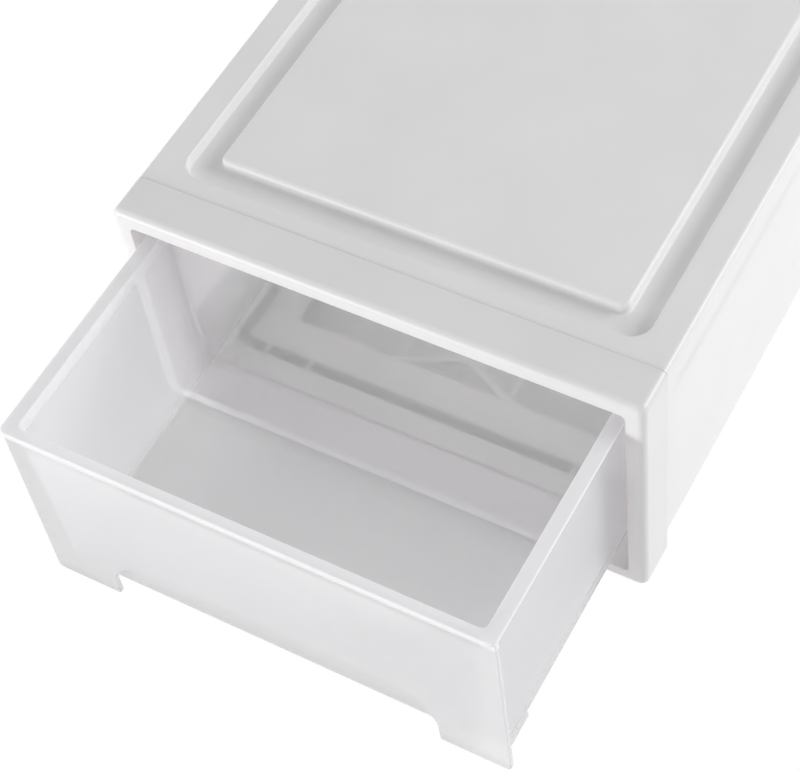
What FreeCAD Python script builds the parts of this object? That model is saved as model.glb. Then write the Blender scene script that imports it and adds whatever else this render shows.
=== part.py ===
import FreeCAD
import Part
import Sketcher
import math
import os

# Stackable drawer box: a white casing with one frosted drawer.
# X runs to the right, Y from the front to the back and Z up. The origin is the middle of
# the casing's plan, on the flat underside of the ring foot that the box stands on.
# The drawer is modelled pulled out by drawer_open. All sizes are millimetres.

SIZES = {
    # Casing as a whole.
    "casing_width": 260.0,
    "casing_depth": 340.0,
    "casing_height": 138.6,
    "foot_drop": 4.8,
    "seat_clearance": 0.1,
    "match_tolerance": 0.01,
    # Front frame.
    "frame_depth": 22.5,
    "jamb_width": 9.3,
    "top_rail_height": 8.8,
    "bottom_rail_height": 9.0,
    "frame_front_skin": 2.5,
    "frame_outer_wall": 2.3,
    "frame_inner_wall": 2.0,
    "frame_top_corner_radius": 4.0,
    "frame_bottom_corner_radius": 4.4,
    "frame_front_edge_radius": 3.6,
    "frame_back_edge_radius": 0.4,
    "opening_corner_radius": 2.5,
    "opening_edge_radius": 0.8,
    # Body shell: top and both sides.
    "shell_side_inset": 0.5,
    "shell_top_inset": 0.4,
    "shell_wall": 2.2,
    "shell_bottom_height": 16.3,
    "shell_edge_radius": 2.8,
    "shell_inner_edge_radius": 0.6,
    "seam_gap": 0.06,
    "tongue_thickness": 2.0,
    "tongue_length": 8.0,
    "collar_depth": 7.5,
    # Groove round the top, and the flat middle inside it.
    "groove_side_margin": 15.4,
    "groove_front_margin": 10.0,
    "groove_back_margin": 13.0,
    "groove_side_width": 13.1,
    "groove_front_width": 12.9,
    "groove_back_width": 13.1,
    "groove_depth": 5.4,
    "groove_corner_radius": 10.0,
    "groove_rim_edge_radius": 1.2,
    "groove_floor_radius": 1.0,
    "plateau_corner_radius": 4.0,
    "plateau_edge_radius": 2.5,
    # Back panel.
    "back_inset": 3.0,
    "back_thickness": 2.2,
    "back_border_width": 5.0,
    "back_border_rise": 2.4,
    # Base frame.
    "base_top_height": 10.4,
    "base_thickness": 2.5,
    "base_flange_thickness": 2.0,
    "base_flange_rise": 19.6,
    "base_tongue_thickness": 2.0,
    "base_tongue_length": 8.0,
    "base_tongue_end_gap": 3.0,
    "base_web_thickness": 2.2,
    "foot_groove_clearance": 0.6,
    "foot_wall": 1.8,
    "foot_floor": 1.8,
    "foot_hollow_width": 6.2,
    "foot_hollow_inner_radius": 1.5,
    "foot_inner_radius": 2.0,
    "foot_rib_thickness": 2.5,
    "window_end_margin": 26.4,
    "window_side_margin": 25.5,
    "window_corner_radius": 4.0,
    "window_bar_width": 10.0,
    "spine_rib_offset": 29.8,
    "spine_rib_width": 3.0,
    "brace_leg_width": 3.5,
    "brace_rise": 13.0,
    "brace_apex_width": 6.0,
    # Guide rails.
    "rail_web": 2.0,
    "rail_ledge": 2.0,
    "rail_tray_gap": 1.7,
    "rail_front_gap": 0.5,
    "rail_run_clearance": 0.05,
    "rail_lift_clearance": 0.35,
    # Drawer.
    "drawer_open": 107.6,
    "drawer_headroom": 10.0,
    "rim_side_clearance": 2.1,
    "rim_thickness": 2.0,
    "rim_corner_radius": 3.0,
    "rim_edge_radius": 0.5,
    "rim_side_width": 6.5,
    "rim_back_width": 7.0,
    "rim_back_clearance": 4.8,
    "lip_thickness": 2.5,
    "lip_overhang": 1.4,
    "apron_side_inset": 0.2,
    "apron_thickness": 2.2,
    "apron_foot_height": 7.0,
    "apron_foot_radius": 3.0,
    "apron_edge_radius": 0.8,
    "arch_half_width": 83.5,
    "arch_height": 30.1,
    "arch_corner_radius": 20.5,
    "arch_mouth_radius": 1.5,
    "tray_wall": 2.0,
    "tray_floor": 2.0,
    "tray_front_setback": 1.7,
    "tray_side_taper": 0.7,
    "tray_front_taper": 3.5,
    "tray_back_taper": 4.0,
    "tray_rail_gap": 2.3,
    "tray_corner_radius": 5.2,
    "tray_floor_radius": 2.8,
    "tray_bottom_radius": 3.5,
    "block_width": 8.0,
    "block_length": 18.0,
    "block_setback": 5.0,
    "block_side_stand": 0.5,
    "block_drop": 0.6,
    "block_height": 8.0,
    "ear_reach": 4.4,
    "ear_length": 12.0,
    "ear_back_distance": 38.0,
}

# Rows of windows in the base frame.
WINDOW_ROWS = 3

# Places of the ribs that cross the hollow of the ring foot, as shares of its half width.
FOOT_RIB_SHARES = (-0.817, -0.603, 0.664, 0.865)


class Size:
    """A number together with the spreadsheet expression that drives it."""

    def __init__(self, value, text):
        self.value = value
        self.text = text

    def __add__(self, other):
        return Size(self.value + other.value, "(%s + %s)" % (self.text, other.text))

    def __sub__(self, other):
        return Size(self.value - other.value, "(%s - %s)" % (self.text, other.text))

    def __mul__(self, factor):
        return Size(self.value * factor, "(%s * %r)" % (self.text, factor))

    def __truediv__(self, divisor):
        return Size(self.value / divisor, "(%s / %r)" % (self.text, divisor))

    def __neg__(self):
        return Size(-self.value, "(0 - %s)" % self.text)


class Sizes:
    """The spreadsheet of driving sizes; each one is read as an attribute."""

    def __init__(self, doc, table):
        self.sheet = doc.addObject("Spreadsheet::Sheet", "sizes")
        for row, (name, value) in enumerate(table.items(), start=1):
            self.sheet.set("A%d" % row, name)
            self.sheet.set("B%d" % row, "%s" % value)
            self.sheet.setAlias("B%d" % row, name)
            setattr(self, name, Size(value, "sizes.%s" % name))
        doc.recompute()


ZERO = Size(0.0, "0")


def new_body(doc, label, shift):
    """A body with its own label, moved along Y by the given size."""
    body = doc.addObject("PartDesign::Body", label)
    body.Label = label
    body.setExpression("Placement.Base.y", shift.text)
    return body


def new_sketch(body, name, role, height):
    """A sketch on one of the body's origin planes, lifted along the plane's normal."""
    sketch = body.newObject("Sketcher::SketchObject", name)
    plane = [item for item in body.Origin.OriginFeatures if item.Role == role][0]
    sketch.AttachmentSupport = [(plane, "")]
    sketch.MapMode = "FlatFace"
    sketch.setExpression("AttachmentOffset.Base.z", height.text)
    return sketch


def level_sketch(body, name, height):
    """A sketch that lies level at a height: its axes are X and Y."""
    return new_sketch(body, name, "XY_Plane", height)


def upright_sketch(body, name, place):
    """A sketch that stands across the body at a place along Y: its axes are X and Z."""
    return new_sketch(body, name, "XZ_Plane", -place)


def hold(sketch, kind, first, value):
    """A distance or radius constraint that follows a size."""
    index = sketch.addConstraint(Sketcher.Constraint(kind, *first, value.value))
    sketch.setExpression("Constraints[%d]" % index, value.text)


def sign_between(start, end):
    """Direction from one corner to the next along its level or upright line."""
    step_x = end[0].value - start[0].value
    step_y = end[1].value - start[1].value
    if abs(step_x) > abs(step_y):
        return math.copysign(1, step_x), 0
    return 0, math.copysign(1, step_y)


def draw_line(sketch, start, end):
    """A straight line between two points; its index is returned."""
    first = FreeCAD.Vector(start[0], start[1], 0)
    second = FreeCAD.Vector(end[0], end[1], 0)
    return sketch.addGeometry(Part.LineSegment(first, second))


def draw_outline(sketch, corners, radii):
    """A closed outline of level and upright lines, with a radius at each corner."""
    count = len(corners)
    steps = [sign_between(corners[i], corners[(i + 1) % count]) for i in range(count)]
    entries = []
    exits = []
    for i, (x, y) in enumerate(corners):
        radius = radii[i].value
        before = steps[i - 1]
        after = steps[i]
        entries.append((x.value - radius * before[0], y.value - radius * before[1]))
        exits.append((x.value + radius * after[0], y.value + radius * after[1]))
    lines = [draw_line(sketch, exits[i], entries[(i + 1) % count]) for i in range(count)]
    for i, line in enumerate(lines):
        if steps[i][0]:
            sketch.addConstraint(Sketcher.Constraint("Horizontal", line))
            hold(sketch, "DistanceY", (-1, 1, line, 1), corners[i][1])
        else:
            sketch.addConstraint(Sketcher.Constraint("Vertical", line))
            hold(sketch, "DistanceX", (-1, 1, line, 1), corners[i][0])
    for i in range(count):
        join_corner(sketch, lines[i - 1], lines[i], entries[i], exits[i], radii[i], steps[i - 1])


def join_corner(sketch, before, after, entry, leave, radius, step):
    """Meets two lines of an outline at a sharp corner or by an arc."""
    if radius.value == 0:
        sketch.addConstraint(Sketcher.Constraint("Coincident", before, 2, after, 1))
        return
    turn = step[0] * (leave[1] - entry[1]) - step[1] * (leave[0] - entry[0])
    side = math.copysign(1, turn)
    centre_x = entry[0] - side * step[1] * radius.value
    centre_y = entry[1] + side * step[0] * radius.value
    circle = Part.Circle(FreeCAD.Vector(centre_x, centre_y, 0), FreeCAD.Vector(0, 0, 1), radius.value)
    first, last = (entry, leave) if side > 0 else (leave, entry)
    angle = math.atan2(first[1] - centre_y, first[0] - centre_x)
    sweep = Part.ArcOfCircle(circle, angle, angle + math.pi / 2)
    arc = sketch.addGeometry(sweep)
    near, far = (1, 2) if side > 0 else (2, 1)
    sketch.addConstraint(Sketcher.Constraint("Tangent", before, 2, arc, near))
    sketch.addConstraint(Sketcher.Constraint("Tangent", after, 1, arc, far))
    hold(sketch, "Radius", (arc,), radius)


def draw_box(sketch, left, right, low, high, radius=ZERO):
    """A rectangle with one corner radius."""
    corners = [(left, low), (right, low), (right, high), (left, high)]
    draw_outline(sketch, corners, [radius] * 4)


def draw_polygon(sketch, corners):
    """A closed polygon with each corner held at its place."""
    count = len(corners)
    points = [(x.value, y.value) for x, y in corners]
    lines = [draw_line(sketch, points[i], points[(i + 1) % count]) for i in range(count)]
    for i, line in enumerate(lines):
        sketch.addConstraint(Sketcher.Constraint("Coincident", lines[i - 1], 2, line, 1))
        hold(sketch, "DistanceX", (-1, 1, line, 1), corners[i][0])
        hold(sketch, "DistanceY", (-1, 1, line, 1), corners[i][1])


def grow(body, kind, name, sketch, length, backwards):
    """A pad or pocket of a sketch with a driven length."""
    feature = body.newObject(kind, name)
    feature.Profile = sketch
    feature.setExpression("Length", length.text)
    feature.Reversed = backwards
    sketch.Visibility = False
    body.Document.recompute()
    return feature


def pad_up(body, name, sketch, length):
    """Adds material upwards from a level sketch."""
    return grow(body, "PartDesign::Pad", name, sketch, length, False)


def pad_back(body, name, sketch, length):
    """Adds material towards the back from an upright sketch."""
    return grow(body, "PartDesign::Pad", name, sketch, length, True)


def cut(body, name, sketch, length, backwards=False):
    """Removes material and makes sure that some is gone."""
    before = body.Shape.Volume
    feature = grow(body, "PartDesign::Pocket", name, sketch, length, backwards)
    if not body.Shape.Volume < before:
        raise RuntimeError("%s cuts nothing" % name)
    return feature


def flat_faces(shape, axis, place, tolerance):
    """Faces that lie flat across an axis at a place, the largest first."""
    found = []
    for face in shape.Faces:
        box = face.BoundBox
        low, high = ((box.XMin, box.XMax), (box.YMin, box.YMax), (box.ZMin, box.ZMax))[axis]
        if abs(low - place.value) < tolerance.value and abs(high - place.value) < tolerance.value:
            found.append(face)
    return sorted(found, key=lambda face: -face.Area)


def edge_names(shape, wires):
    """Names of the edges of the given wires within the shape."""
    wanted = [edge for wire in wires for edge in wire.Edges]
    names = []
    for index, edge in enumerate(shape.Edges, start=1):
        if any(edge.isSame(other) for other in wanted):
            names.append("Edge%d" % index)
    return names


def outer_loop(face):
    """The outer boundary of a face, in a list."""
    return [face.OuterWire]


def inner_loops(face):
    """The boundaries of the holes in a face."""
    return [wire for wire in face.Wires if not wire.isSame(face.OuterWire)]


def round_edges(body, name, wires, radius):
    """Rounds the edges of some wires of the body's last feature."""
    base = body.Tip
    names = edge_names(base.Shape, wires)
    feature = body.newObject("PartDesign::Fillet", name)
    feature.Base = (base, names)
    feature.setExpression("Radius", radius.text)
    body.Document.recompute()
    return feature


def frame_bottom(s):
    """Height of the front frame's underside."""
    return s.foot_drop


def frame_top(s):
    """Height of the front frame's top."""
    return s.foot_drop + s.casing_height


def opening_half(s):
    """Half the width of the frame's opening."""
    return s.casing_width / 2 - s.jamb_width


def opening_top(s):
    """Height of the top of the frame's opening."""
    return frame_top(s) - s.top_rail_height


def opening_bottom(s):
    """Height of the bottom of the frame's opening."""
    return frame_bottom(s) + s.bottom_rail_height


def shell_half(s):
    """Half the outer width of the body shell."""
    return s.casing_width / 2 - s.shell_side_inset


def shell_top(s):
    """Height of the body shell's top."""
    return frame_top(s) - s.shell_top_inset


def shell_inner_half(s):
    """Half the clear width between the shell's sides."""
    return shell_half(s) - s.shell_wall


def back_face(s):
    """Place of the back panel's rear face."""
    return s.casing_depth - s.back_inset


def back_front_face(s):
    """Place of the back panel's front face."""
    return back_face(s) - s.back_thickness


def shell_front(s):
    """Place where the shell's walls start, a fine seam behind the frame."""
    return s.frame_depth + s.seam_gap


def collar_end(s):
    """Place where the shell's thick front collar ends."""
    return shell_front(s) + s.collar_depth


def base_top(s):
    """Height of the base frame's top."""
    return frame_bottom(s) + s.base_top_height


def base_bottom(s):
    """Height of the underside of the base frame's plate."""
    return base_top(s) - s.base_thickness


def rim_top(s):
    """Height of the drawer rim's top."""
    return opening_top(s) - s.drawer_headroom


def rim_half(s):
    """Half the width over the drawer's rim."""
    return opening_half(s) - s.rim_side_clearance


def tray_half(s):
    """Half the width over the drawer tray at its top."""
    return rim_half(s) - s.rim_side_width + s.tray_wall


def build_front_frame(doc, s):
    """The separate frame round the mouth, hollow from behind."""
    body = new_body(doc, "front_frame", -s.casing_depth / 2)
    half = s.casing_width / 2
    low = frame_bottom(s)
    high = frame_top(s)
    sketch = upright_sketch(body, "frame_outline", ZERO)
    corners = [(-half, low), (half, low), (half, high), (-half, high)]
    bottom = s.frame_bottom_corner_radius
    top = s.frame_top_corner_radius
    draw_outline(sketch, corners, [bottom, bottom, top, top])
    inner = opening_half(s)
    draw_box(sketch, -inner, inner, opening_bottom(s), opening_top(s), s.opening_corner_radius)
    pad_back(body, "frame_block", sketch, s.frame_depth)

    channel = upright_sketch(body, "frame_channel", s.frame_depth)
    outer = half - s.frame_outer_wall
    draw_box(channel, -outer, outer, low + s.frame_outer_wall, high - s.frame_outer_wall)
    tight = inner + s.frame_inner_wall
    floor = opening_bottom(s) - s.frame_inner_wall
    ceiling = opening_top(s) + s.frame_inner_wall
    draw_box(channel, -tight, tight, floor, ceiling)
    cut(body, "frame_hollow", channel, s.frame_depth - s.frame_front_skin, True)

    front = flat_faces(body.Tip.Shape, 1, ZERO, s.match_tolerance)[0]
    round_edges(body, "frame_front_round", outer_loop(front), s.frame_front_edge_radius)
    front = flat_faces(body.Tip.Shape, 1, ZERO, s.match_tolerance)[0]
    round_edges(body, "frame_opening_round", inner_loops(front), s.opening_edge_radius)
    rear = flat_faces(body.Tip.Shape, 1, s.frame_depth, s.match_tolerance)[0]
    round_edges(body, "frame_back_round", outer_loop(rear), s.frame_back_edge_radius)
    return body


def draw_arch(sketch, outer, top, inner, ceiling, low, outer_radius, inner_radius):
    """An upturned U: outer half width and top, inner half width and ceiling, open below."""
    corners = [
        (-outer, low),
        (-outer, top),
        (outer, top),
        (outer, low),
        (inner, low),
        (inner, ceiling),
        (-inner, ceiling),
        (-inner, low),
    ]
    radii = [ZERO, outer_radius, outer_radius, ZERO, ZERO, inner_radius, inner_radius, ZERO]
    draw_outline(sketch, corners, radii)


def groove_outer(s):
    """Left, right, front and back of the groove's outer edge."""
    half = shell_half(s) - s.groove_side_margin
    front = s.frame_depth + s.groove_front_margin
    return -half, half, front, s.casing_depth - s.groove_back_margin


def plateau_edge(s):
    """Left, right, front and back of the flat middle."""
    left, right, front, back = groove_outer(s)
    side = s.groove_side_width
    return left + side, right - side, front + s.groove_front_width, back - s.groove_back_width


def widen(box, size):
    """A rectangle moved outwards on every side."""
    left, right, front, back = box
    return left - size, right + size, front - size, back + size


def build_body_shell(doc, s):
    """Top and both sides in one moulding, with the groove that takes the box above."""
    body = new_body(doc, "body_shell", -s.casing_depth / 2)
    half = shell_half(s)
    top = shell_top(s)
    low = frame_bottom(s) + s.shell_bottom_height
    wall = s.shell_wall
    inner = shell_inner_half(s)
    sketch = upright_sketch(body, "shell_section", shell_front(s))
    draw_arch(sketch, half, top, inner, top - wall, low, s.shell_edge_radius, s.shell_inner_edge_radius)
    pad_back(body, "shell_walls", sketch, s.casing_depth - shell_front(s))

    tongue_half = s.casing_width / 2 - s.frame_outer_wall - s.seat_clearance
    tongue_top = frame_top(s) - s.frame_outer_wall - s.seat_clearance
    tongue_inner = tongue_half - s.tongue_thickness
    tongue_ceiling = tongue_top - s.tongue_thickness
    collar = upright_sketch(body, "collar_section", shell_front(s))
    draw_arch(collar, half - wall / 2, top - wall / 2, tongue_inner, tongue_ceiling, low, ZERO, ZERO)
    pad_back(body, "collar", collar, s.collar_depth)
    tongue = upright_sketch(body, "tongue_section", s.frame_depth - s.tongue_length)
    draw_arch(tongue, tongue_half, tongue_top, tongue_inner, tongue_ceiling, low, ZERO, ZERO)
    pad_back(body, "tongue", tongue, s.tongue_length + s.seam_gap + s.collar_depth)

    outside = groove_outer(s)
    middle = plateau_edge(s)
    floor = top - s.groove_depth
    backing = level_sketch(body, "groove_backing", floor - wall)
    draw_box(backing, *widen(outside, wall), s.groove_corner_radius + wall)
    draw_box(backing, *widen(middle, -wall), s.plateau_corner_radius / 2)
    pad_up(body, "groove_channel", backing, s.groove_depth + wall / 2)
    groove = level_sketch(body, "groove_plan", top)
    draw_box(groove, *outside, s.groove_corner_radius)
    draw_box(groove, *middle, s.plateau_corner_radius)
    cut(body, "groove", groove, s.groove_depth)

    plateau = flat_faces(body.Tip.Shape, 2, top, s.match_tolerance)[0]
    round_edges(body, "plateau_round", outer_loop(plateau), s.plateau_edge_radius)
    margin = flat_faces(body.Tip.Shape, 2, top, s.match_tolerance)[1]
    round_edges(body, "groove_rim_round", inner_loops(margin), s.groove_rim_edge_radius)
    bed = flat_faces(body.Tip.Shape, 2, floor, s.match_tolerance)[0]
    round_edges(body, "groove_floor_round", bed.Wires, s.groove_floor_radius)
    return body


def build_back_panel(doc, s):
    """The rear wall, let in between the sides, with a raised border."""
    body = new_body(doc, "back_panel", -s.casing_depth / 2)
    half = shell_inner_half(s) - s.seat_clearance
    low = base_top(s)
    high = shell_top(s) - s.shell_wall - s.seat_clearance
    sketch = upright_sketch(body, "panel_outline", back_front_face(s))
    draw_box(sketch, -half, half, low, high, s.shell_inner_edge_radius)
    pad_back(body, "panel", sketch, s.back_thickness)
    border = upright_sketch(body, "border_outline", back_face(s))
    draw_box(border, -half, half, low, high, s.shell_inner_edge_radius)
    width = s.back_border_width
    draw_box(border, -half + width, half - width, low + width, high - width, s.shell_inner_edge_radius)
    pad_back(body, "border", border, s.back_border_rise)
    return body


def foot_outer(s):
    """Left, right, front and back of the ring foot, which drops into the groove below."""
    return widen(groove_outer(s), -s.foot_groove_clearance)


def window_columns(s):
    """Left and right ends of the three columns of windows."""
    outer = foot_outer(s)[1] - s.window_side_margin
    near = s.spine_rib_offset - s.spine_rib_width / 2
    far = s.spine_rib_offset + s.spine_rib_width / 2
    return [(-outer, -far), (-near, near), (far, outer)]


def window_rows(s):
    """Front and back ends of the rows of windows."""
    _, _, front, back = foot_outer(s)
    start = front + s.window_end_margin
    end = back - s.window_end_margin
    bars = s.window_bar_width * (WINDOW_ROWS - 1)
    length = (end - start - bars) / WINDOW_ROWS
    step = length + s.window_bar_width
    return [(start + step * row, start + step * row + length) for row in range(WINDOW_ROWS)]


def draw_brace(sketch, s, base, sign):
    """A V brace across the middle column, from one end of a window towards its middle."""
    half = s.spine_rib_offset
    flat = s.brace_apex_width / 2
    rise = s.brace_rise * sign
    leg = s.brace_leg_width * sign
    corners = [
        (-half, base - leg / 2),
        (-half, base + leg / 2),
        (-flat, base + rise + leg / 2),
        (flat, base + rise + leg / 2),
        (half, base + leg / 2),
        (half, base - leg / 2),
        (flat, base + rise - leg / 2),
        (-flat, base + rise - leg / 2),
    ]
    draw_polygon(sketch, corners)


def build_base_frame(doc, s):
    """The open lattice under the drawer, with the ring foot and its side flanges."""
    body = new_body(doc, "base_frame", -s.casing_depth / 2)
    half = shell_inner_half(s) - s.seat_clearance
    front = s.frame_depth + s.seat_clearance
    back = back_face(s)
    low = base_bottom(s)
    plate = level_sketch(body, "plate_outline", low)
    draw_box(plate, -half, half, front, back)
    pad_up(body, "plate", plate, s.base_thickness)

    flange = level_sketch(body, "flange_plan", low)
    inner = half - s.base_flange_thickness
    start = collar_end(s) + s.seat_clearance
    end = back_front_face(s) - s.seat_clearance
    draw_box(flange, inner, half, start, end)
    draw_box(flange, -half, -inner, start, end)
    pad_up(body, "flanges", flange, s.base_thickness + s.base_flange_rise)

    width = s.foot_wall * 2 + s.foot_hollow_width
    outside = foot_outer(s)
    radius = s.groove_corner_radius - s.foot_groove_clearance
    foot = level_sketch(body, "foot_plan", ZERO)
    draw_box(foot, *outside, radius)
    draw_box(foot, *widen(outside, -width), s.foot_inner_radius)
    pad_up(body, "foot", foot, low + s.base_thickness / 2)
    hollow = level_sketch(body, "foot_hollow_plan", base_top(s))
    draw_box(hollow, *widen(outside, -s.foot_wall), radius - s.foot_wall)
    draw_box(hollow, *widen(outside, s.foot_wall - width), s.foot_hollow_inner_radius)
    cut(body, "foot_hollow", hollow, base_top(s) - s.foot_floor)

    ribs = level_sketch(body, "foot_rib_plan", s.foot_floor / 2)
    near = outside[2] + s.foot_wall / 2
    far = outside[2] + width - s.foot_wall / 2
    for share in FOOT_RIB_SHARES:
        middle = outside[1] * share
        draw_box(ribs, middle - s.foot_rib_thickness / 2, middle + s.foot_rib_thickness / 2, near, far)
    pad_up(body, "foot_ribs", ribs, base_top(s) - s.foot_floor / 2)

    rows = window_rows(s)
    windows = level_sketch(body, "window_plan", base_top(s))
    for row_front, row_back in rows:
        for left, right in window_columns(s):
            draw_box(windows, left, right, row_front, row_back, s.window_corner_radius)
    cut(body, "windows", windows, s.base_thickness)
    for name, place, sign in (("front", rows[0][0], 1), ("back", rows[-1][1], -1)):
        brace = level_sketch(body, "%s_brace_plan" % name, low)
        draw_brace(brace, s, place, sign)
        pad_up(body, "%s_brace" % name, brace, s.base_thickness)

    reach = opening_half(s) - s.base_tongue_end_gap
    ceiling = opening_bottom(s) - s.frame_inner_wall - s.seat_clearance
    tongue_low = ceiling - s.base_tongue_thickness
    web = upright_sketch(body, "web_section", front)
    draw_box(web, -reach, reach, tongue_low, low + s.base_thickness / 2)
    pad_back(body, "front_web", web, s.base_web_thickness)
    tongue = upright_sketch(body, "base_tongue_section", front - s.base_tongue_length)
    draw_box(tongue, -reach, reach, tongue_low, ceiling)
    pad_back(body, "base_tongue", tongue, s.base_tongue_length + s.base_web_thickness)
    return body


def build_guide_rail(doc, s, label, side):
    """A channel on one side wall that holds and guides the drawer's rim."""
    body = new_body(doc, label, -s.casing_depth / 2)
    outer = shell_inner_half(s) * side
    web = (shell_inner_half(s) - s.rail_web) * side
    tip = (tray_half(s) + s.rail_tray_gap) * side
    shelf = rim_top(s) - s.rim_thickness - s.rail_run_clearance
    hood = rim_top(s) + s.rail_lift_clearance
    corners = [
        (outer, shelf - s.rail_ledge),
        (tip, shelf - s.rail_ledge),
        (tip, shelf),
        (web, shelf),
        (web, hood),
        (tip, hood),
        (tip, hood + s.rail_ledge),
        (outer, hood + s.rail_ledge),
    ]
    start = collar_end(s) + s.rail_front_gap
    sketch = upright_sketch(body, "%s_section" % label, start)
    draw_outline(sketch, corners, [ZERO] * len(corners))
    pad_back(body, "%s_channel" % label, sketch, back_front_face(s) - start)
    return body


def tray_plan(s, drop_share, inset):
    """Left, right, front and back of the tray; drop_share is 0 at its top and 1 at its bottom."""
    half = tray_half(s) - s.tray_side_taper * drop_share - inset
    front = -s.apron_thickness + s.tray_front_setback + s.tray_front_taper * drop_share + inset
    rim_back = back_front_face(s) - s.rim_back_clearance
    back = rim_back - s.rim_back_width + s.tray_wall - s.tray_back_taper * drop_share - inset
    return -half, half, front, back


def tray_section(body, s, name, height, drop_share, inset):
    """A level section through the tray, inset from its outer faces."""
    sketch = level_sketch(body, name, height)
    draw_box(sketch, *tray_plan(s, drop_share, inset), s.tray_corner_radius - inset)
    return sketch


def loft(body, kind, name, lower, upper):
    """Joins two level sections by straight walls."""
    feature = body.newObject(kind, name)
    feature.Profile = lower
    feature.Sections = [(upper, [""])]
    feature.Ruled = True
    lower.Visibility = False
    upper.Visibility = False
    body.Document.recompute()
    return feature


def build_drawer_tray(doc, s):
    """The drawer in one moulding: tray, rim, front lip, apron with its pull arch and stops.

    Its own Y starts at the apron's back face, which meets the frame when it is closed.
    """
    body = new_body(doc, "drawer_tray", -s.casing_depth / 2 - s.drawer_open)
    top = rim_top(s)
    low = opening_bottom(s) + s.tray_rail_gap
    floor = low + s.tray_floor
    lower = tray_section(body, s, "tray_foot_section", low, 1, ZERO)
    upper = tray_section(body, s, "tray_mouth_section", top, 0, ZERO)
    loft(body, "PartDesign::AdditiveLoft", "tray_block", lower, upper)
    inner_low = tray_section(body, s, "cavity_floor_section", floor, 1, s.tray_wall)
    inner_top = tray_section(body, s, "cavity_mouth_section", top, 0, s.tray_wall)
    loft(body, "PartDesign::SubtractiveLoft", "cavity", inner_low, inner_top)
    bed = flat_faces(body.Tip.Shape, 2, floor, s.match_tolerance)[0]
    round_edges(body, "tray_floor_round", outer_loop(bed), s.tray_floor_radius)
    under = flat_faces(body.Tip.Shape, 2, low, s.match_tolerance)[0]
    round_edges(body, "tray_bottom_round", outer_loop(under), s.tray_bottom_radius)

    rim_front = -s.apron_thickness - s.lip_overhang
    rim_back = back_front_face(s) - s.rim_back_clearance
    wide = rim_half(s)
    apron_half = wide - s.apron_side_inset
    foot = frame_bottom(s) + s.apron_foot_height
    apron = upright_sketch(body, "apron_outline", -s.apron_thickness)
    corners = [
        (-apron_half, foot),
        (-apron_half, top),
        (apron_half, top),
        (apron_half, foot),
        (s.arch_half_width, foot),
        (s.arch_half_width, foot + s.arch_height),
        (-s.arch_half_width, foot + s.arch_height),
        (-s.arch_half_width, foot),
    ]
    end = s.apron_foot_radius
    mouth = s.arch_mouth_radius
    arch = s.arch_corner_radius
    draw_outline(apron, corners, [end, ZERO, ZERO, end, mouth, arch, arch, mouth])
    pad_back(body, "apron", apron, s.apron_thickness)
    face = flat_faces(body.Tip.Shape, 1, -s.apron_thickness, s.match_tolerance)[0]
    round_edges(body, "apron_round", outer_loop(face), s.apron_edge_radius)

    rim = level_sketch(body, "rim_plan", top - s.rim_thickness)
    draw_box(rim, -wide, wide, rim_front, rim_back, s.rim_corner_radius)
    draw_box(rim, *tray_plan(s, 0, s.tray_wall / 2), s.tray_corner_radius - s.tray_wall / 2)
    pad_up(body, "rim", rim, s.rim_thickness)
    lip = level_sketch(body, "lip_plan", top - s.lip_thickness)
    lip_corners = [(-wide, rim_front), (wide, rim_front), (wide, ZERO), (-wide, ZERO)]
    draw_outline(lip, lip_corners, [s.rim_corner_radius, s.rim_corner_radius, ZERO, ZERO])
    pad_up(body, "lip", lip, s.lip_thickness)
    crown = flat_faces(body.Tip.Shape, 2, top, s.match_tolerance)[0]
    round_edges(body, "rim_round", crown.Wires, s.rim_edge_radius)

    block_out = tray_half(s) - s.tray_side_taper + s.block_side_stand
    block_in = block_out - s.block_width
    cheek = tray_half(s) - s.tray_side_taper - s.tray_wall / 2
    near = s.block_setback
    far = near + s.block_length
    soles = level_sketch(body, "block_sole_plan", low - s.block_drop)
    draw_box(soles, block_in, block_out, near, far)
    draw_box(soles, -block_out, -block_in, near, far)
    pad_up(body, "block_soles", soles, s.block_drop + s.tray_floor)
    cheeks = level_sketch(body, "block_cheek_plan", low)
    draw_box(cheeks, cheek, block_out, near, far)
    draw_box(cheeks, -block_out, -cheek, near, far)
    pad_up(body, "block_cheeks", cheeks, s.block_height)

    ear_front = rim_back - s.ear_back_distance
    ear_out = wide + s.ear_reach
    ears = level_sketch(body, "ear_plan", top - s.rim_thickness)
    inner = wide - s.rim_thickness
    draw_box(ears, inner, ear_out, ear_front, ear_front + s.ear_length)
    draw_box(ears, -ear_out, -inner, ear_front, ear_front + s.ear_length)
    pad_up(body, "stop_ears", ears, s.rim_thickness)
    return body


def check_document(doc, bodies):
    """Stops unless every object is sound and every sub-part is one valid solid."""
    for item in doc.Objects:
        if "Invalid" in item.State or "Error" in item.State:
            raise RuntimeError("%s is %s" % (item.Name, item.State))
    for body in bodies:
        shape = body.Shape
        if shape.isNull() or not shape.isValid() or len(shape.Solids) != 1:
            raise RuntimeError("%s has no sound solid" % body.Label)


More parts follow.
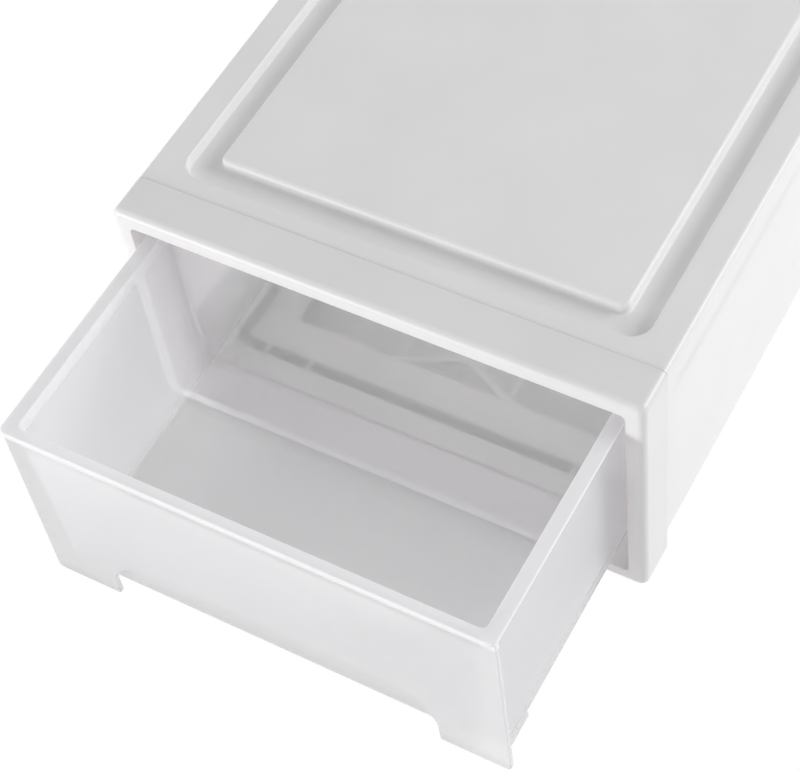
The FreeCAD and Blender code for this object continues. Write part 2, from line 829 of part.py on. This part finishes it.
def main():
    """Builds the drawer box and writes one file for each sub-part."""
    doc = FreeCAD.newDocument("stackable_drawer_box")
    s = Sizes(doc, SIZES)
    bodies = [
        build_front_frame(doc, s),
        build_body_shell(doc, s),
        build_back_panel(doc, s),
        build_base_frame(doc, s),
        build_guide_rail(doc, s, "guide_rail_left", -1),
        build_guide_rail(doc, s, "guide_rail_right", 1),
        build_drawer_tray(doc, s),
    ]
    doc.recompute()
    check_document(doc, bodies)
    os.makedirs("parts", exist_ok=True)
    for body in bodies:
        body.Shape.exportStep(os.path.join("parts", "%s.step" % body.Label))
        box = body.Shape.BoundBox
        print(body.Label, round(body.Shape.Volume), [round(v, 2) for v in (
            box.XMin, box.XMax, box.YMin, box.YMax, box.ZMin, box.ZMax)])


main()
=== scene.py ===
"""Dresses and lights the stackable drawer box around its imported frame.

Lengths are in metres, angles in degrees and shades in display levels from 0 to 255.
"""

import logging
import math
from dataclasses import dataclass
from enum import Enum
from typing import Union

import bpy
from mathutils import Matrix, Vector


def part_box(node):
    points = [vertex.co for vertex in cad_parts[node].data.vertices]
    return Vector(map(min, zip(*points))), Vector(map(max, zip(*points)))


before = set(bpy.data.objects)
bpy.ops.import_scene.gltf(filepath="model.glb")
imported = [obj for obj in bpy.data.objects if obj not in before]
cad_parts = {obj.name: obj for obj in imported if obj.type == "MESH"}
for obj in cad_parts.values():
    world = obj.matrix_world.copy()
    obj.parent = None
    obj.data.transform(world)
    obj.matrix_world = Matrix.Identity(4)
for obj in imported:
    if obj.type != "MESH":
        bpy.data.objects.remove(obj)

logging.basicConfig(level=logging.INFO, format="%(message)s")
log = logging.getLogger("drawer_box")

Shade = tuple[float, float, float]
Colour = tuple[float, float, float, float]
Box = tuple[Vector, Vector]
Owner = Union[bpy.types.Material, bpy.types.World]
Socket = bpy.types.NodeSocket
Level = Union[float, Socket]
Tint = Union[Colour, Socket]

WHITE: Colour = (1.0, 1.0, 1.0, 1.0)
FULL_LEVEL = 255.0
PLASTIC_IOR = 1.49

# Most of a noise lies between these two values.
NOISE_LOW = 0.3
NOISE_HIGH = 0.7

# The light crosses the drawer, the floor plate and the rails several times.
PANE_BOUNCES = 24
LIGHT_BOUNCES = 16


class Piece(Enum):
    """The CAD nodes that the dressing names."""

    FRONT_FRAME = "front_frame"
    BODY_SHELL = "body_shell"
    BACK_PANEL = "back_panel"
    BASE_FRAME = "base_frame"
    GUIDE_RAIL_LEFT = "guide_rail_left"
    GUIDE_RAIL_RIGHT = "guide_rail_right"
    DRAWER_TRAY = "drawer_tray"

    def box(self) -> Box:
        """Lowest and highest corner of the piece at rest."""
        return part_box(self.value)


class Sum(Enum):
    """The sums and comparisons that a node can work out from two numbers."""

    BELOW = "LESS_THAN"
    ABOVE = "GREATER_THAN"
    TIMES = "MULTIPLY"
    MINUS = "SUBTRACT"
    LARGER = "MAXIMUM"
    SIZE = "ABSOLUTE"


def srgb(level: float) -> float:
    """Turns a display level into a linear value.

    Args:
        level: The display level, from 0 to 255.

    Returns:
        The linear value, from 0 to 1.
    """
    share = level / FULL_LEVEL
    return share / 12.92 if share <= 0.04045 else ((share + 0.055) / 1.055) ** 2.4


def paint(shade: Shade) -> Colour:
    """Linear colour of a shade."""
    return srgb(shade[0]), srgb(shade[1]), srgb(shade[2]), 1.0


def grey(level: float) -> Colour:
    """Linear colour of a neutral grey."""
    return paint((level, level, level))


def shift(shade: Shade, step: float) -> Shade:
    """Moves every level of a shade by one step."""
    return shade[0] + step, shade[1] + step, shade[2] + step


def bearing(azimuth: float, elevation: float) -> Vector:
    """Finds the direction from the box to something that stands round it.

    Args:
        azimuth: The turn from straight in front, towards the right.
        elevation: The rise above the floor.

    Returns:
        A direction of length 1.
    """
    turn = math.radians(azimuth)
    rise = math.radians(elevation)
    level = math.cos(rise)
    return Vector((math.sin(turn) * level, -math.cos(turn) * level, math.sin(rise)))


def dress(piece: Piece, material: bpy.types.Material) -> None:
    """Gives a CAD piece its material.

    Args:
        piece: The piece to dress.
        material: Its finished material.
    """
    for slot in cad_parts[piece.value].material_slots:
        slot.material = material
    log.info("dressed %s in %s", piece.value, material.name)


class NodeBench:
    """A small bench for laying out the nodes of one material or world."""

    def __init__(self, owner: Owner, output: str) -> None:
        """Clears the owner's nodes and gives it an output.

        Args:
            owner: A new material or world.
            output: The type name of its output node.
        """
        owner.use_nodes = True
        self.owner = owner
        self.tree = owner.node_tree
        self.tree.nodes.clear()
        self.output = self.add(output)

    @classmethod
    def for_material(cls, name: str) -> "NodeBench":
        """Starts an empty material of that name."""
        return cls(bpy.data.materials.new(name), "ShaderNodeOutputMaterial")

    @classmethod
    def for_world(cls, name: str) -> "NodeBench":
        """Starts an empty world of that name."""
        return cls(bpy.data.worlds.new(name), "ShaderNodeOutputWorld")

    def feed(self, value: object, socket: Socket) -> None:
        """Sets an input to a value, or joins an output to it.

        Args:
            value: A number, a colour or an output socket.
            socket: The input socket.
        """
        if isinstance(value, Socket):
            self.tree.links.new(value, socket)
        else:
            socket.default_value = value

    def add(self, kind: str, **values: object) -> bpy.types.Node:
        """Adds a node and feeds its inputs.

        Args:
            kind: The node's type name.
            **values: A number, colour or output for each input, with underscores for spaces.

        Returns:
            The new node.
        """
        node = self.tree.nodes.new(kind)
        for name, value in values.items():
            self.feed(value, node.inputs[name.replace("_", " ")])
        return node

    def blend(self, share: Level, first: bpy.types.Node, second: bpy.types.Node) -> bpy.types.Node:
        """Mixes two shaders.

        Args:
            share: The second shader's share.
            first: The first shader node.
            second: The second shader node.

        Returns:
            The mix node.
        """
        node = self.add("ShaderNodeMixShader")
        for place, value in enumerate((share, first.outputs[0], second.outputs[0])):
            self.feed(value, node.inputs[place])
        return node

    def finish(self, shader: bpy.types.Node) -> Owner:
        """Puts a shader on the output.

        Args:
            shader: The shader node that the owner shows.

        Returns:
            The finished material or world.
        """
        self.feed(shader.outputs[0], self.output.inputs["Surface"])
        return self.owner

    def tint_range(self, factor: Socket, low: Colour, high: Colour) -> Socket:
        """Lays a colour that moves between two tints with a noise.

        Args:
            factor: The noise's output.
            low: The tint where the noise is low.
            high: The tint where the noise is high.

        Returns:
            The output that holds the colour.
        """
        ramp = self.add("ShaderNodeValToRGB", Fac=factor)
        stops = ((NOISE_LOW, low), (NOISE_HIGH, high))
        for stop, (position, tint) in zip(ramp.color_ramp.elements, stops):
            stop.position = position
            stop.color = tint
        return ramp.outputs["Color"]

    def number_range(self, factor: Socket, low: Level, high: Level) -> Socket:
        """Lays a number that moves between two values with a factor.

        Args:
            factor: The output that drives it.
            low: The value at 0.
            high: The value at 1.

        Returns:
            The output that holds the number.
        """
        node = self.add("ShaderNodeMapRange", Value=factor, To_Min=low, To_Max=high)
        return node.outputs["Result"]

    def mix_tints(self, share: Level, first: Tint, second: Tint) -> Socket:
        """Mixes two tints.

        Args:
            share: The second tint's share.
            first: The first tint.
            second: The second tint.

        Returns:
            The output that holds the mixed tint.
        """
        node = self.add("ShaderNodeMixRGB", Fac=share, Color1=first, Color2=second)
        return node.outputs["Color"]

    def work_out(self, operation: Sum, first: Level, second: Level = 0.0) -> Socket:
        """Works out one number from two.

        Args:
            operation: The kind of sum or comparison.
            first: The first number.
            second: The second number, which the size of a number doesn't need.

        Returns:
            The output that holds the result.
        """
        node = self.add("ShaderNodeMath")
        node.operation = operation.value
        self.feed(first, node.inputs[0])
        self.feed(second, node.inputs[1])
        return node.outputs[0]

    def largest(self, *numbers: Socket) -> Socket:
        """Finds the largest of several numbers.

        Args:
            *numbers: The outputs that hold them.

        Returns:
            The output that holds the largest one.
        """
        result = numbers[0]
        for number in numbers[1:]:
            result = self.work_out(Sum.LARGER, result, number)
        return result

    def product(self, *numbers: Socket) -> Socket:
        """Multiplies several numbers, so that marks of 0 and 1 give 1 where all of them are 1.

        Args:
            *numbers: The outputs that hold them.

        Returns:
            The output that holds the product.
        """
        result = numbers[0]
        for number in numbers[1:]:
            result = self.work_out(Sum.TIMES, result, number)
        return result

    def split(self, vector: Socket) -> bpy.types.bpy_prop_collection:
        """Splits a vector into its outputs X, Y and Z."""
        return self.add("ShaderNodeSeparateXYZ", Vector=vector).outputs

    def place(self) -> bpy.types.bpy_prop_collection:
        """Place on the piece, as the outputs X, Y and Z."""
        return self.split(self.add("ShaderNodeTexCoord").outputs["Object"])

    def facing(self) -> bpy.types.bpy_prop_collection:
        """Direction that the surface faces, as the outputs X, Y and Z."""
        return self.split(self.add("ShaderNodeNewGeometry").outputs["Normal"])

    def noise(self, scale: float, detail: float) -> Socket:
        """Lays a noise that is fixed to the piece.

        Args:
            scale: The number of its patches in a metre.
            detail: The number of finer layers.

        Returns:
            The output that holds the noise.
        """
        place = self.add("ShaderNodeTexCoord").outputs["Object"]
        return self.add("ShaderNodeTexNoise", Scale=scale, Detail=detail, Vector=place).outputs["Fac"]


@dataclass(frozen=True)
class MouldedPlastic:
    """Polypropylene with a faint mottle and a fine moulded skin.

    The grain and the mottle are the numbers of their patches in a metre.
    """

    name: str
    shade: Shade
    shade_drift: float
    roughness: float
    roughness_drift: float
    mottle: float
    skin_grain: float
    skin_strength: float
    skin_depth: float = 0.00002
    skin_detail: float = 2.0
    mottle_detail: float = 3.0

    def lay_tint(self, bench: NodeBench, mottle: Socket, shade: Shade) -> Socket:
        """Lays a colour that drifts round a shade with the mottle.

        Args:
            bench: The bench of the material.
            mottle: The output that holds the mottle.
            shade: The shade in the middle of the drift.

        Returns:
            The output that holds the colour.
        """
        low = paint(shift(shade, -self.shade_drift))
        high = paint(shift(shade, self.shade_drift))
        return bench.tint_range(mottle, low, high)

    def lay_surface(self, bench: NodeBench, mottle: Socket, tint: Tint) -> bpy.types.Node:
        """Lays the plain opaque surface with its gloss and skin.

        Args:
            bench: The bench of the material.
            mottle: The output that holds the mottle.
            tint: The surface's colour.

        Returns:
            The shader node.
        """
        glossy = self.roughness - self.roughness_drift
        matt = self.roughness + self.roughness_drift
        gloss = bench.number_range(mottle, glossy, matt)
        grain = bench.noise(self.skin_grain, self.skin_detail)
        skin = bench.add(
            "ShaderNodeBump", Strength=self.skin_strength, Distance=self.skin_depth, Height=grain
        )
        return bench.add(
            "ShaderNodeBsdfPrincipled",
            IOR=PLASTIC_IOR,
            Base_Color=tint,
            Roughness=gloss,
            Normal=skin.outputs["Normal"],
        )


@dataclass(frozen=True)
class CasingPlastic(MouldedPlastic):
    """Opaque white plastic, through which light glows into the box.

    The lid's depth is measured down from the top of the shell. A face is a ceiling where its
    normal's Z is under ceiling_tilt. It is an inner side where its normal's X times its place's X
    is under wall_tilt.
    """

    name: str = "casing_white"
    shade: Shade = (246.5, 245.6, 245.8)
    shade_drift: float = 1.5
    roughness: float = 0.32
    roughness_drift: float = 0.05
    mottle: float = 22.0
    skin_grain: float = 1400.0
    skin_strength: float = 0.25
    glow_outside: float = 0.08
    glow_inside: float = 0.7
    lid_depth: float = 0.008
    ceiling_tilt: float = -0.5
    wall_tilt: float = -0.01
    # Painted shade: the grey of the line along the seam, which stands in for the shade in the gap.
    seam_painted_shade: float = 222.0
    seam_reach: float = 0.00026

    def find_inside(self, bench: NodeBench) -> Socket:
        """Marks the faces that look into the box: ceilings, and sides below the lid.

        Args:
            bench: The bench of the material.

        Returns:
            An output that is 1 on those faces and 0 on the others.
        """
        facing = bench.facing()
        place = bench.place()
        top = Piece.BODY_SHELL.box()[1].z
        ceiling = bench.work_out(Sum.BELOW, facing["Z"], self.ceiling_tilt)
        outward = bench.work_out(Sum.TIMES, facing["X"], place["X"])
        inward = bench.work_out(Sum.BELOW, outward, self.wall_tilt)
        under_lid = bench.work_out(Sum.BELOW, place["Z"], top - self.lid_depth)
        return bench.largest(ceiling, bench.product(inward, under_lid))

    def find_painted_seam_shade(self, bench: NodeBench) -> Socket:
        """Marks the fine line of painted shade where the front frame meets the shell, standing in for
        the shade in the gap between them.

        Args:
            bench: The bench of the material.

        Returns:
            An output that is 1 on the line and 0 elsewhere.
        """
        seam = Piece.FRONT_FRAME.box()[1].y
        offset = bench.work_out(Sum.MINUS, bench.place()["Y"], seam)
        return bench.work_out(Sum.BELOW, bench.work_out(Sum.SIZE, offset), self.seam_reach)

    def make(self) -> bpy.types.Material:
        """Builds the material.

        Returns:
            The finished material.
        """
        bench = NodeBench.for_material(self.name)
        mottle = bench.noise(self.mottle, self.mottle_detail)
        tint_without_seam_shade = self.lay_tint(bench, mottle, self.shade)
        # Painted shade: the seam line is darkened to stand in for the shade in the gap between frame
        # and shell.
        tint = bench.mix_tints(self.find_painted_seam_shade(bench), tint_without_seam_shade, grey(self.seam_painted_shade))
        surface = self.lay_surface(bench, mottle, tint)
        glow = bench.add("ShaderNodeBsdfTranslucent", Color=tint)
        share = bench.number_range(self.find_inside(bench), self.glow_outside, self.glow_inside)
        return bench.finish(bench.blend(share, surface, glow))


@dataclass(frozen=True)
class FrostedPlastic(MouldedPlastic):
    """Milky plastic, thin enough to show what lies close behind it.

    The side walls are milkier than the floor, and the flange round the top more so. The flange's
    depth and the floor's height are measured from the drawer's top and bottom, side_inset and
    front_depth from its sides and front.
    """

    name: str = "drawer_frosted"
    shade: Shade = (252.8, 252.6, 253.8)
    shade_drift: float = 1.0
    roughness: float = 0.3
    roughness_drift: float = 0.04
    mottle: float = 16.0
    skin_grain: float = 1100.0
    skin_strength: float = 0.2
    glow_through: float = 0.4
    clear_shade: float = 250.0
    see_through: float = 0.66
    side_shade: Shade = (245.4, 245.2, 246.8)
    side_see_through: float = 0.46
    flange_see_through: float = 0.25
    flange_depth: float = 0.0072
    floor_height: float = 0.0102
    side_inset: float = 0.013
    front_depth: float = 0.0047

    def find_flange(self, bench: NodeBench) -> Socket:
        """Marks the flange round the top of the drawer.

        Args:
            bench: The bench of the material.

        Returns:
            An output that is 1 on the flange and 0 elsewhere.
        """
        underside = Piece.DRAWER_TRAY.box()[1].z - self.flange_depth
        return bench.work_out(Sum.ABOVE, bench.place()["Z"], underside)

    def find_sides(self, bench: NodeBench) -> Socket:
        """Marks the two side walls, from the floor to the flange and behind the front.

        Args:
            bench: The bench of the material.

        Returns:
            An output that is 1 on the side walls and 0 elsewhere.
        """
        lowest, highest = Piece.DRAWER_TRAY.box()
        place = bench.place()
        off_middle = bench.work_out(Sum.SIZE, place["X"])
        aside = bench.work_out(Sum.ABOVE, off_middle, highest.x - self.side_inset)
        over_floor = bench.work_out(Sum.ABOVE, place["Z"], lowest.z + self.floor_height)
        under_flange = bench.work_out(Sum.BELOW, place["Z"], highest.z - self.flange_depth)
        behind_front = bench.work_out(Sum.ABOVE, place["Y"], lowest.y + self.front_depth)
        return bench.product(aside, over_floor, under_flange, behind_front)

    def make(self) -> bpy.types.Material:
        """Builds the material.

        Returns:
            The finished material.
        """
        bench = NodeBench.for_material(self.name)
        mottle = bench.noise(self.mottle, self.mottle_detail)
        sides = self.find_sides(bench)
        floor_tint = self.lay_tint(bench, mottle, self.shade)
        side_tint = self.lay_tint(bench, mottle, self.side_shade)
        tint = bench.mix_tints(sides, floor_tint, side_tint)
        surface = self.lay_surface(bench, mottle, tint)
        glow = bench.add("ShaderNodeBsdfTranslucent", Color=tint)
        clear = bench.add("ShaderNodeBsdfTransparent", Color=grey(self.clear_shade))
        milk = bench.blend(self.glow_through, surface, glow)
        wall_share = bench.number_range(sides, self.see_through, self.side_see_through)
        share = bench.number_range(self.find_flange(bench), wall_share, self.flange_see_through)
        return bench.finish(bench.blend(share, milk, clear))


@dataclass(frozen=True)
class WhiteSweep:
    """Floor that is plain white in the picture and keeps the shadows under the box.

    A ray's count of panes passed is under first_pane until it has passed a see-through wall.
    """

    name: str = "white_sweep"
    ground_shade: float = 245.0
    first_pane: float = 0.5

    def make(self) -> bpy.types.Material:
        """Builds the material.

        Rays that come straight from the camera, or by way of gloss or glass, find plain white.
        Those that have passed a see-through wall find the lit ground.

        Returns:
            The finished material.
        """
        bench = NodeBench.for_material(self.name)
        ground = bench.add("ShaderNodeBsdfDiffuse", Color=grey(self.ground_shade))
        plain = bench.add("ShaderNodeEmission", Color=WHITE, Strength=1.0)
        path = bench.add("ShaderNodeLightPath").outputs
        direct = bench.work_out(Sum.BELOW, path["Transparent Depth"], self.first_pane)
        camera = bench.product(path["Is Camera Ray"], direct)
        seen = bench.largest(camera, path["Is Glossy Ray"], path["Is Transmission Ray"])
        return bench.finish(bench.blend(seen, ground, plain))


@dataclass(frozen=True)
class PaintedShadeCard:
    """Matt grey card, a sheet of painted shade laid where the box's shadow falls on the floor."""

    name: str = "painted_shade_card"
    shade: Shade = (227.0, 227.4, 225.0)

    def make(self) -> bpy.types.Material:
        """Builds the material.

        Returns:
            The finished material.
        """
        bench = NodeBench.for_material(self.name)
        return bench.finish(bench.add("ShaderNodeBsdfDiffuse", Color=paint(self.shade)))


@dataclass(frozen=True)
class RoomLight:
    """Even light from all round, behind which the picture sees plain white."""

    name: str = "room"
    strength: float = 0.43

    def make(self) -> bpy.types.World:
        """Builds the world.

        Returns:
            The finished world.
        """
        bench = NodeBench.for_world(self.name)
        light = bench.add("ShaderNodeBackground", Color=WHITE, Strength=self.strength)
        plain = bench.add("ShaderNodeBackground", Color=WHITE, Strength=1.0)
        path = bench.add("ShaderNodeLightPath").outputs
        seen = bench.largest(path["Is Camera Ray"], path["Is Glossy Ray"], path["Is Transmission Ray"])
        return bench.finish(bench.blend(seen, light, plain))


@dataclass(frozen=True)
class Casing:
    """The white casing: frame and shell outside, and back, base and guide rails within."""

    shell_finish: CasingPlastic = CasingPlastic()
    # Painted shade: the frame's shade is a few levels darker than the shell's, for the lesser light on
    # its top.
    frame_finish: CasingPlastic = CasingPlastic(name="casing_frame", shade=(241.6, 240.4, 240.8))
    base_finish: CasingPlastic = CasingPlastic(
        name="casing_base", shade=(239.6, 240.0, 238.4), glow_outside=0.12, glow_inside=0.3
    )
    thin_finish: CasingPlastic = CasingPlastic(
        name="casing_thin", shade=(245.6, 245.8, 244.6), glow_outside=0.5, glow_inside=0.5
    )
    thin_pieces: tuple[Piece, ...] = (
        Piece.BACK_PANEL,
        Piece.GUIDE_RAIL_LEFT,
        Piece.GUIDE_RAIL_RIGHT,
    )

    def dress(self) -> None:
        """Gives every casing piece its plastic."""
        plan = (
            (self.shell_finish, (Piece.BODY_SHELL,)),
            (self.frame_finish, (Piece.FRONT_FRAME,)),
            (self.base_finish, (Piece.BASE_FRAME,)),
            (self.thin_finish, self.thin_pieces),
        )
        for finish, pieces in plan:
            material = finish.make()
            for piece in pieces:
                dress(piece, material)


@dataclass(frozen=True)
class Drawer:
    """The frosted drawer."""

    finish: FrostedPlastic = FrostedPlastic()

    def dress(self) -> None:
        """Gives the drawer its frosted plastic."""
        dress(Piece.DRAWER_TRAY, self.finish.make())


@dataclass(frozen=True)
class Softbox:
    """A large soft lamp that faces the box."""

    name: str
    azimuth: float
    elevation: float
    distance: float
    width: float
    height: float
    watts: float

    def build(self, target: Vector) -> None:
        """Hangs the lamp and turns it to the box.

        Args:
            target: The point that it faces.
        """
        lamp = bpy.data.lights.new(self.name, "AREA")
        lamp.shape = "RECTANGLE"
        lamp.size = self.width
        lamp.size_y = self.height
        lamp.energy = self.watts
        holder = bpy.data.objects.new(self.name, lamp)
        bpy.context.collection.objects.link(holder)
        back = bearing(self.azimuth, self.elevation)
        holder.location = target + back * self.distance
        holder.rotation_euler = back.to_track_quat("Z", "Y").to_euler()
        log.info("hung %s", self.name)


@dataclass(frozen=True)
class StageSheet:
    """A flat rectangle that lies level and isn't part of the box."""

    name: str
    left: float
    front: float
    right: float
    back: float
    height: float

    def build(self, material: bpy.types.Material) -> None:
        """Lays the sheet.

        Args:
            material: Its finished material.
        """
        corners = (
            (self.left, self.front, self.height),
            (self.right, self.front, self.height),
            (self.right, self.back, self.height),
            (self.left, self.back, self.height),
        )
        mesh = bpy.data.meshes.new(self.name)
        mesh.from_pydata(corners, [], [(0, 1, 2, 3)])
        mesh.materials.append(material)
        sheet = bpy.data.objects.new(self.name, mesh)
        bpy.context.collection.objects.link(sheet)
        log.info("laid the %s", self.name)


@dataclass(frozen=True)
class Studio:
    """White floor, a grey card of painted shade under the open base where the box's shadow falls, soft
    lamps and even room light.

    The card's insets are measured from the sides of the base.
    """

    sweep: WhiteSweep = WhiteSweep()
    sweep_size: float = 8.0
    # Painted shade: a grey sheet under the base, darker than the floor, stands in for the box's shadow
    # seen through the open base.
    shade_card: PaintedShadeCard = PaintedShadeCard()
    shade_card_side_inset: float = 0.0292
    shade_card_front_inset: float = 0.0304
    shade_card_back_inset: float = 0.025
    shade_card_height: float = 0.0003
    room: RoomLight = RoomLight()
    target: tuple[float, float, float] = (0.0, -0.08, 0.07)
    lamps: tuple[Softbox, ...] = (
        Softbox(
            name="front_left_softbox",
            azimuth=-35.0,
            elevation=10.0,
            distance=2.2,
            width=1.4,
            height=0.8,
            watts=28.0,
        ),
        Softbox(
            name="right_softbox",
            azimuth=120.0,
            elevation=26.0,
            distance=2.0,
            width=1.0,
            height=0.8,
            watts=18.0,
        ),
    )

    def build_floor(self) -> None:
        """Lays the floor under the box."""
        half = self.sweep_size / 2.0
        StageSheet("sweep", -half, -half, half, half, 0.0).build(self.sweep.make())

    def build_shade_card(self) -> None:
        """Lays the grey card of painted shade on the floor, inside the ring foot of the base, where
        the box's shadow falls.
        """
        lowest, highest = Piece.BASE_FRAME.box()
        StageSheet(
            "shade_card",
            lowest.x + self.shade_card_side_inset,
            lowest.y + self.shade_card_front_inset,
            highest.x - self.shade_card_side_inset,
            highest.y - self.shade_card_back_inset,
            self.shade_card_height,
        ).build(self.shade_card.make())

    def build(self) -> None:
        """Builds the floor, the painted shade card, the room light and the lamps."""
        self.build_floor()
        self.build_shade_card()
        bpy.context.scene.world = self.room.make()
        log.info("lit the room")
        for lamp in self.lamps:
            lamp.build(Vector(self.target))


@dataclass(frozen=True)
class PictureCamera:
    """The camera, which stands where the photograph was taken."""

    place: tuple[float, float, float] = (0.33995, -0.60960, 0.84171)
    azimuth: float = 36.7096
    elevation: float = 53.7541
    roll: float = -9.5836
    lens: float = 95.299
    sensor_width: float = 36.0
    nearest: float = 0.01

    def turn_matrix(self) -> Matrix:
        """Works out how the camera is turned.

        Returns:
            The turn as a matrix of 4 by 4.
        """
        back = bearing(self.azimuth, self.elevation)
        turn = math.radians(self.azimuth)
        level = Vector((math.cos(turn), math.sin(turn), 0.0))
        upright = back.cross(level)
        tilt = math.radians(self.roll)
        right = level * math.cos(tilt) + upright * math.sin(tilt)
        return Matrix((right, back.cross(right), back)).transposed().to_4x4()

    def build(self) -> None:
        """Makes the camera and hands it to the scene."""
        data = bpy.data.cameras.new("picture_camera")
        data.sensor_fit = "HORIZONTAL"
        data.sensor_width = self.sensor_width
        data.lens = self.lens
        data.clip_start = self.nearest
        holder = bpy.data.objects.new("picture_camera", data)
        holder.matrix_world = Matrix.Translation(self.place) @ self.turn_matrix()
        bpy.context.collection.objects.link(holder)
        bpy.context.scene.camera = holder
        log.info("camera at %s", self.place)


def set_view() -> None:
    """Keeps the plain Standard view, and lets light pass many thin walls."""
    scene = bpy.context.scene
    scene.view_settings.view_transform = "Standard"
    scene.cycles.max_bounces = PANE_BOUNCES
    scene.cycles.diffuse_bounces = LIGHT_BOUNCES
    scene.cycles.transmission_bounces = LIGHT_BOUNCES
    scene.cycles.transparent_max_bounces = PANE_BOUNCES


def write_sizes() -> None:
    """Logs a note only; no sizes are written.
    """
    log.info("sizes written")


def main() -> None:
    """Builds and dresses the whole scene."""
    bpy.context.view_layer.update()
    Casing().dress()
    Drawer().dress()
    Studio().build()
    PictureCamera().build()
    set_view()
    write_sizes()


if __name__ == "__main__":
    main()
